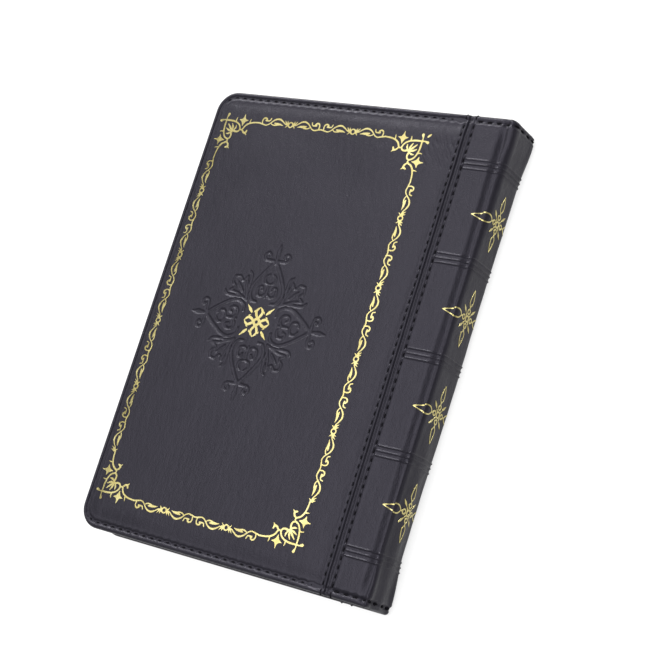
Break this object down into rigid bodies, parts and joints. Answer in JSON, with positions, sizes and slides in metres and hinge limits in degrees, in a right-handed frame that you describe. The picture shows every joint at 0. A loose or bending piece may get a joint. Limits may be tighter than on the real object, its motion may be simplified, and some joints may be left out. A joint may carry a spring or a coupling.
{
  "type": "prayer book",
  "caption": "Closed pocket prayer book with a padded stitched leather case, a flat boxed spine, gold-stamped border and a sewn page block that opens flat.",
  "frame": {"origin": "on the resting plane, under the middle of the closed book's box", "axes": "+Z out of the front cover, +Y towards the head of the book, +X towards the spine"},
  "size_m": [0.125, 0.17, 0.017],
  "materials": {
    "leather": "black grained leather with a soft sheen",
    "lining": "thin matt black lining leather",
    "thread": "twisted black thread",
    "gold_foil": "pale lemon-gold stamped foil",
    "wadding": "soft off-white wadding",
    "board": "dense grey-brown bookbinding board",
    "paper": "cream book paper",
    "binding_cloth": "glued open-weave mull",
    "band_silk": "striped silk head band"
  },
  "bodies": {
    "back_cover": {"back_leather_panel": "leather", "back_hinge_leather": "leather", "back_padding": "wadding", "back_board": "board", "back_lining": "lining", "back_edge_thread": "thread", "back_seam_thread_panel": "thread", "back_seam_thread_strip": "thread", "back_border_foil": "gold_foil", "back_rosette_foil": "gold_foil"},
    "spine": {"spine_leather": "leather", "spine_board": "board", "spine_lining": "lining", "spine_head_thread": "thread", "spine_tail_thread": "thread", "spine_fleuron_foil_1": "gold_foil", "spine_fleuron_foil_2": "gold_foil", "spine_fleuron_foil_3": "gold_foil", "spine_fleuron_foil_4": "gold_foil", "block_backing": "binding_cloth", "head_band": "band_silk", "tail_band": "band_silk"},
    "front_cover": {"front_leather_panel": "leather", "front_hinge_leather": "leather", "front_padding": "wadding", "front_board": "board", "front_lining": "lining", "front_edge_thread": "thread", "front_seam_thread_panel": "thread", "front_seam_thread_strip": "thread", "front_border_foil": "gold_foil", "front_rosette_foil": "gold_foil"},
    "front_pages": {"front_flyleaf": "paper", "section_1": "paper", "section_2": "paper", "section_3": "paper"},
    "leaf_1": {"leaf_1": "paper"},
    "leaf_2": {"leaf_2": "paper"},
    "leaf_3": {"leaf_3": "paper"},
    "leaf_4": {"leaf_4": "paper"},
    "back_pages": {"section_4": "paper", "section_5": "paper", "section_6": "paper", "back_flyleaf": "paper"}
  },
  "joints": [
    {"name": "back_fold", "type": "hinge", "parent": "back_cover", "child": "spine", "pos_m": [0.0605, 0, 0.002], "axis": [0, 1, 0], "range_deg": [0, 90]},
    {"name": "front_fold", "type": "hinge", "parent": "spine", "child": "front_cover", "pos_m": [0.0605, 0, 0.015], "axis": [0, 1, 0], "range_deg": [0, 90]},
    {"name": "front_pages_turn", "type": "hinge", "parent": "spine", "child": "front_pages", "pos_m": [0.0605, 0, 0.015], "axis": [0, 1, 0], "range_deg": [0, 87.8]},
    {"name": "leaf_1_turn", "type": "hinge", "parent": "spine", "child": "leaf_1", "pos_m": [0.0605, 0, 0.015], "axis": [0, 1, 0], "range_deg": [0, 68]},
    {"name": "leaf_2_turn", "type": "hinge", "parent": "spine", "child": "leaf_2", "pos_m": [0.0605, 0, 0.015], "axis": [0, 1, 0], "range_deg": [0, 27.5]},
    {"name": "leaf_3_turn", "type": "hinge", "parent": "spine", "child": "leaf_3", "pos_m": [0.0605, 0, 0.002], "axis": [0, 1, 0], "range_deg": [-38.3, 0]},
    {"name": "leaf_4_turn", "type": "hinge", "parent": "spine", "child": "leaf_4", "pos_m": [0.0605, 0, 0.002], "axis": [0, 1, 0], "range_deg": [-72.5, 0]},
    {"name": "back_pages_turn", "type": "hinge", "parent": "spine", "child": "back_pages", "pos_m": [0.0605, 0, 0.002], "axis": [0, 1, 0], "range_deg": [-87.8, 0]}
  ],
  "couplings": [
    {"joint": "front_pages_turn", "follows": "front_fold", "ratio": 0.97},
    {"joint": "leaf_1_turn", "follows": "front_fold", "ratio": 0.75},
    {"joint": "leaf_2_turn", "follows": "front_fold", "ratio": 0.3},
    {"joint": "leaf_3_turn", "follows": "back_fold", "ratio": -0.42},
    {"joint": "leaf_4_turn", "follows": "back_fold", "ratio": -0.8},
    {"joint": "back_pages_turn", "follows": "back_fold", "ratio": -0.97}
  ]
}
